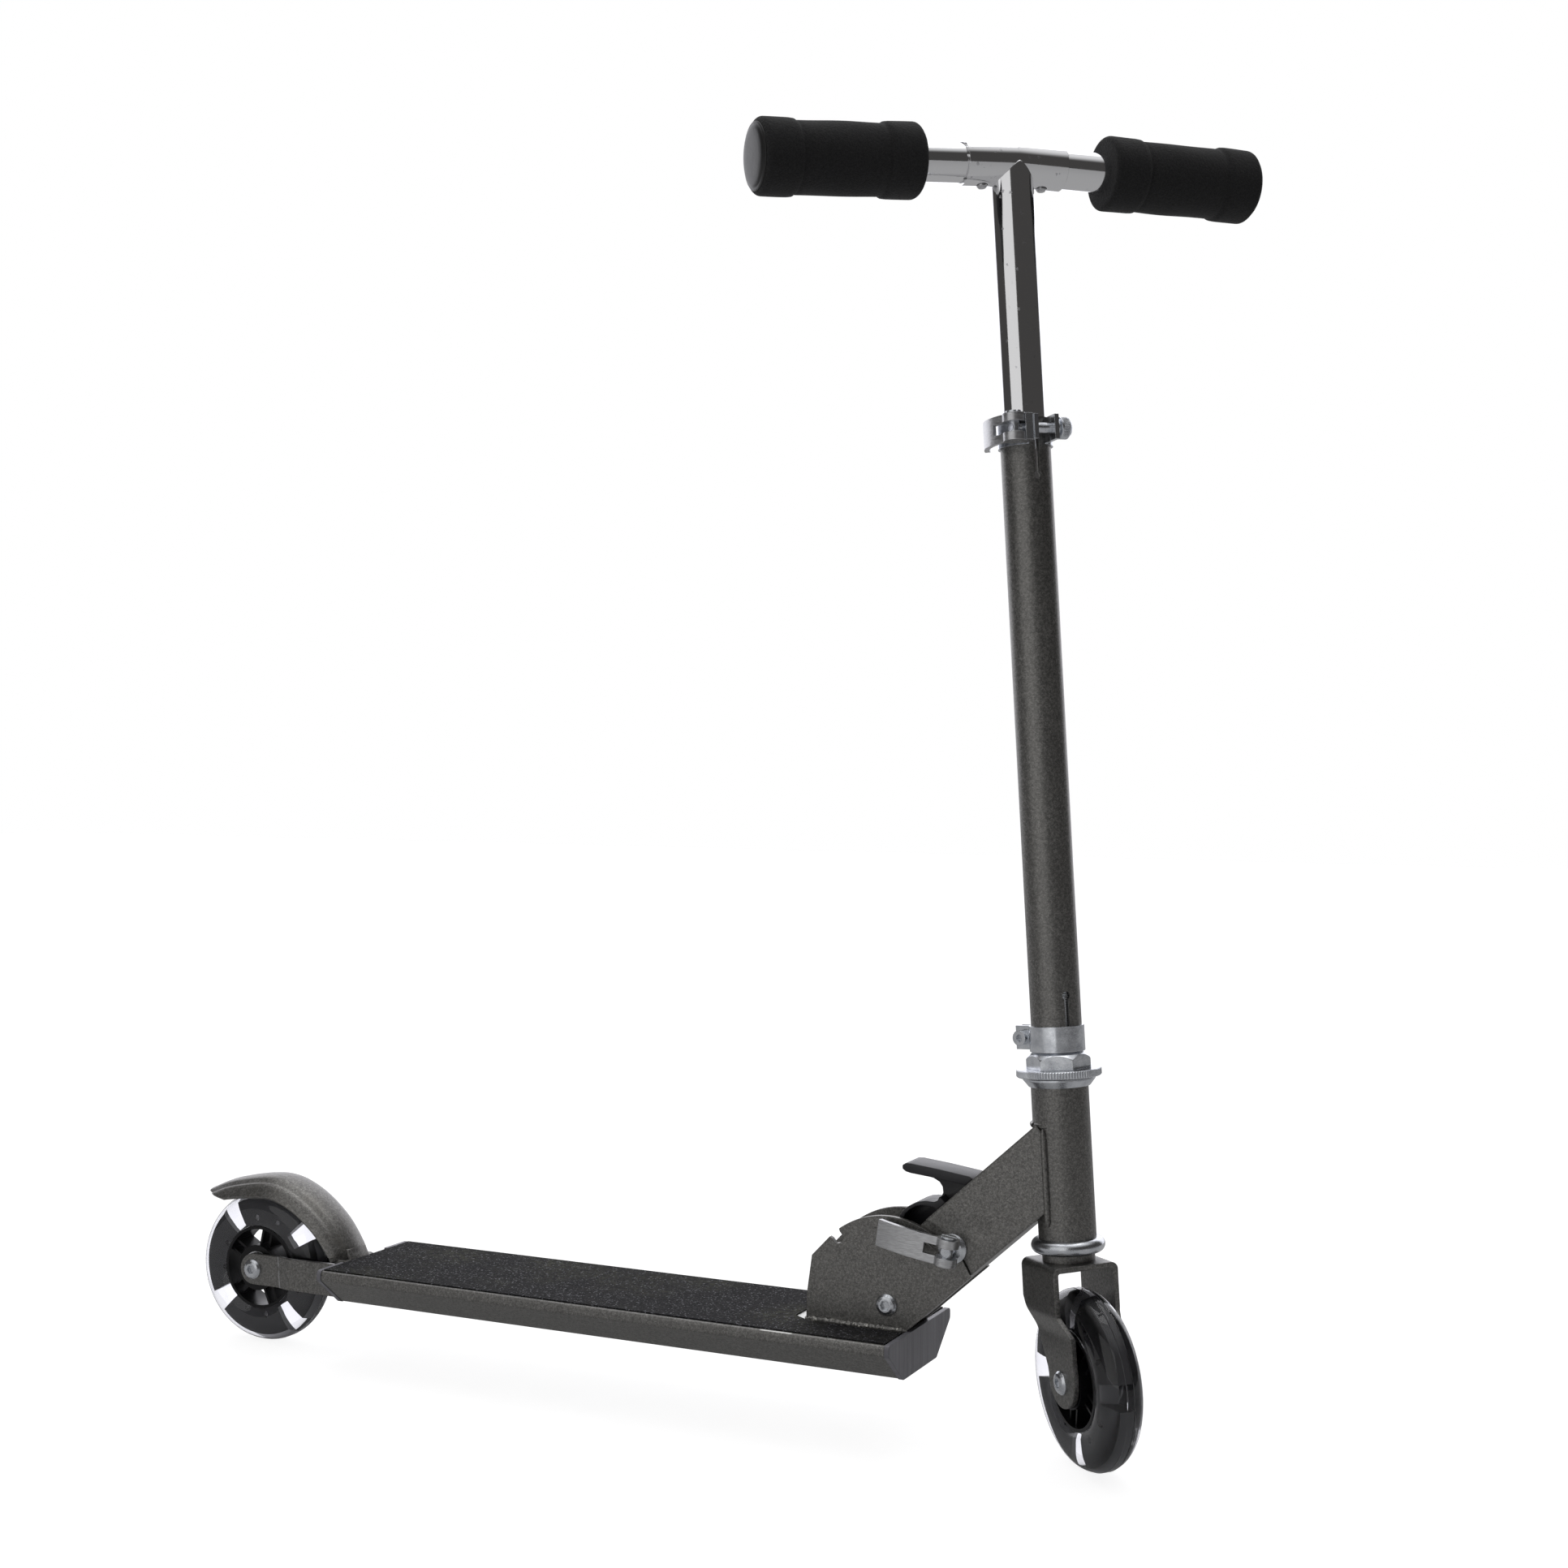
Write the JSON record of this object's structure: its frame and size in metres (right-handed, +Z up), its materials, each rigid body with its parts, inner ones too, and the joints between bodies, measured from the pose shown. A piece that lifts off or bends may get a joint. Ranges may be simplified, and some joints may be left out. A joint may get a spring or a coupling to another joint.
{
  "type": "folding kick scooter",
  "caption": "Folding kick scooter with clear-tyred wheels, flat deck, rear fender brake, hinged neck, telescoping column and T-shaped foam-gripped bars.",
  "frame": {"origin": "on the ground under the rear axle, on the deck's centre line", "axes": "+X forward along the deck, +Y to the rider's left, +Z up"},
  "size_m": [0.6947, 0.2428, 0.7572],
  "materials": {
    "graphite_paint": "satin metallic paint",
    "bright_chrome": "polished chrome plate",
    "zinc_plate": "bright zinc plate",
    "bearing_steel": "ground steel",
    "brushed_alloy": "tumbled satin",
    "black_plastic": "moulded satin",
    "clear_urethane": "clear cast polyurethane",
    "black_foam": "closed-cell foam",
    "grit_tape": "coarse grit on film"
  },
  "bodies": {
    "deck": {"deck_shell": "graphite_paint", "deck_cap_rear": "black_plastic", "deck_cap_front": "black_plastic", "grip_tape": "grit_tape", "side_plate_left": "graphite_paint", "side_plate_right": "graphite_paint", "rear_arm_left": "graphite_paint", "rear_arm_right": "graphite_paint", "pivot_screw": "zinc_plate", "brake_pin": "zinc_plate", "brake_spring": "zinc_plate", "rear_axle": "zinc_plate", "rear_axle_washers": "zinc_plate"},
    "rear_wheel": {"rear_wheel_core": "black_plastic", "rear_tyre": "clear_urethane", "rear_wheel_bearings": "bearing_steel", "rear_bearing_spacer": "bearing_steel"},
    "brake": {"fender_brake": "graphite_paint"},
    "neck": {"neck_tube": "graphite_paint", "head_tube": "graphite_paint", "head_cup_lower": "zinc_plate", "head_cup_upper": "zinc_plate", "lower_balls": "bearing_steel", "upper_balls": "bearing_steel"},
    "lock": {"release_lever": "black_plastic", "lock_skewer": "zinc_plate", "lock_washers": "zinc_plate", "lock_nut": "zinc_plate", "lock_lever_pin": "zinc_plate"},
    "lock_lever": {"lock_lever": "brushed_alloy"},
    "steering": {"fork": "graphite_paint", "crown_race": "zinc_plate", "steerer_tube": "zinc_plate", "race_disc": "zinc_plate", "headset_nut": "zinc_plate", "column_tube": "graphite_paint", "column_clamp": "zinc_plate", "clamp_screw": "zinc_plate", "collar_band": "zinc_plate", "collar_bolt": "zinc_plate", "collar_nut": "zinc_plate", "collar_saddle": "zinc_plate", "collar_lever_pin": "zinc_plate", "front_axle": "zinc_plate", "front_axle_washers": "zinc_plate"},
    "collar_lever": {"collar_lever": "brushed_alloy"},
    "front_wheel": {"front_wheel_core": "black_plastic", "front_tyre": "clear_urethane", "front_wheel_bearings": "bearing_steel", "front_bearing_spacer": "bearing_steel"},
    "handlebar": {"stem_tube": "bright_chrome", "handle_sleeve": "bright_chrome", "handle_tube_left": "bright_chrome", "handle_tube_right": "bright_chrome", "grip_left": "black_foam", "grip_right": "black_foam", "grip_plug_left": "black_plastic", "grip_plug_right": "black_plastic"},
    "button_left": {"snap_button_left": "brushed_alloy"},
    "button_right": {"snap_button_right": "brushed_alloy"}
  },
  "joints": [
    {"name": "fold", "type": "hinge", "parent": "deck", "child": "neck", "pos_m": [0.458, 0, 0.0786], "axis": [0, -1, 0], "range_deg": [0, 88.8]},
    {"name": "lock_slide", "type": "slide", "parent": "neck", "child": "lock", "axis": [0.7396, 0, 0.673], "range_m": [-0.007, 0.002]},
    {"name": "lock_lever_turn", "type": "hinge", "parent": "lock", "child": "lock_lever", "pos_m": [0.49831, -0.0258, 0.11528], "axis": [0.1392, 0, 0.9903], "range_deg": [0, 150]},
    {"name": "steer", "type": "hinge", "parent": "neck", "child": "steering", "pos_m": [0.56603, 0, 0.04902], "axis": [-0.0654, 0, 0.9979], "continuous": true},
    {"name": "column_slide", "type": "slide", "parent": "steering", "child": "handlebar", "axis": [-0.0654, 0, 0.9979], "range_m": [-0.115, 0.085]},
    {"name": "collar_lever_turn", "type": "hinge", "parent": "steering", "child": "collar_lever", "pos_m": [0.53446, -0.02775, 0.57824], "axis": [-0.0654, 0, 0.9979], "range_deg": [0, 150]},
    {"name": "front_wheel_spin", "type": "hinge", "parent": "steering", "child": "front_wheel", "pos_m": [0.57651, -0.01072, 0.0497], "axis": [0.7129, 0.6997, 0.0467], "continuous": true},
    {"name": "rear_wheel_spin", "type": "hinge", "parent": "deck", "child": "rear_wheel", "pos_m": [0, 0, 0.05], "axis": [0, 1, 0], "continuous": true},
    {"name": "brake_press", "type": "hinge", "parent": "deck", "child": "brake", "pos_m": [0.067, 0, 0.053], "axis": [0, -1, 0], "range_deg": [0, 5.5], "stiffness_Nm_per_rad": 6, "springref_deg": -2.29},
    {"name": "button_left_press", "type": "slide", "parent": "handlebar", "child": "button_left", "axis": [-0.043, 0.022, 0.9988], "range_m": [0, 0.0028], "stiffness_N_per_m": 800, "springref_m": -0.0005},
    {"name": "button_right_press", "type": "slide", "parent": "handlebar", "child": "button_right", "axis": [-0.0878, -0.022, 0.9959], "range_m": [0, 0.0028], "stiffness_N_per_m": 800, "springref_m": -0.0005}
  ]
}
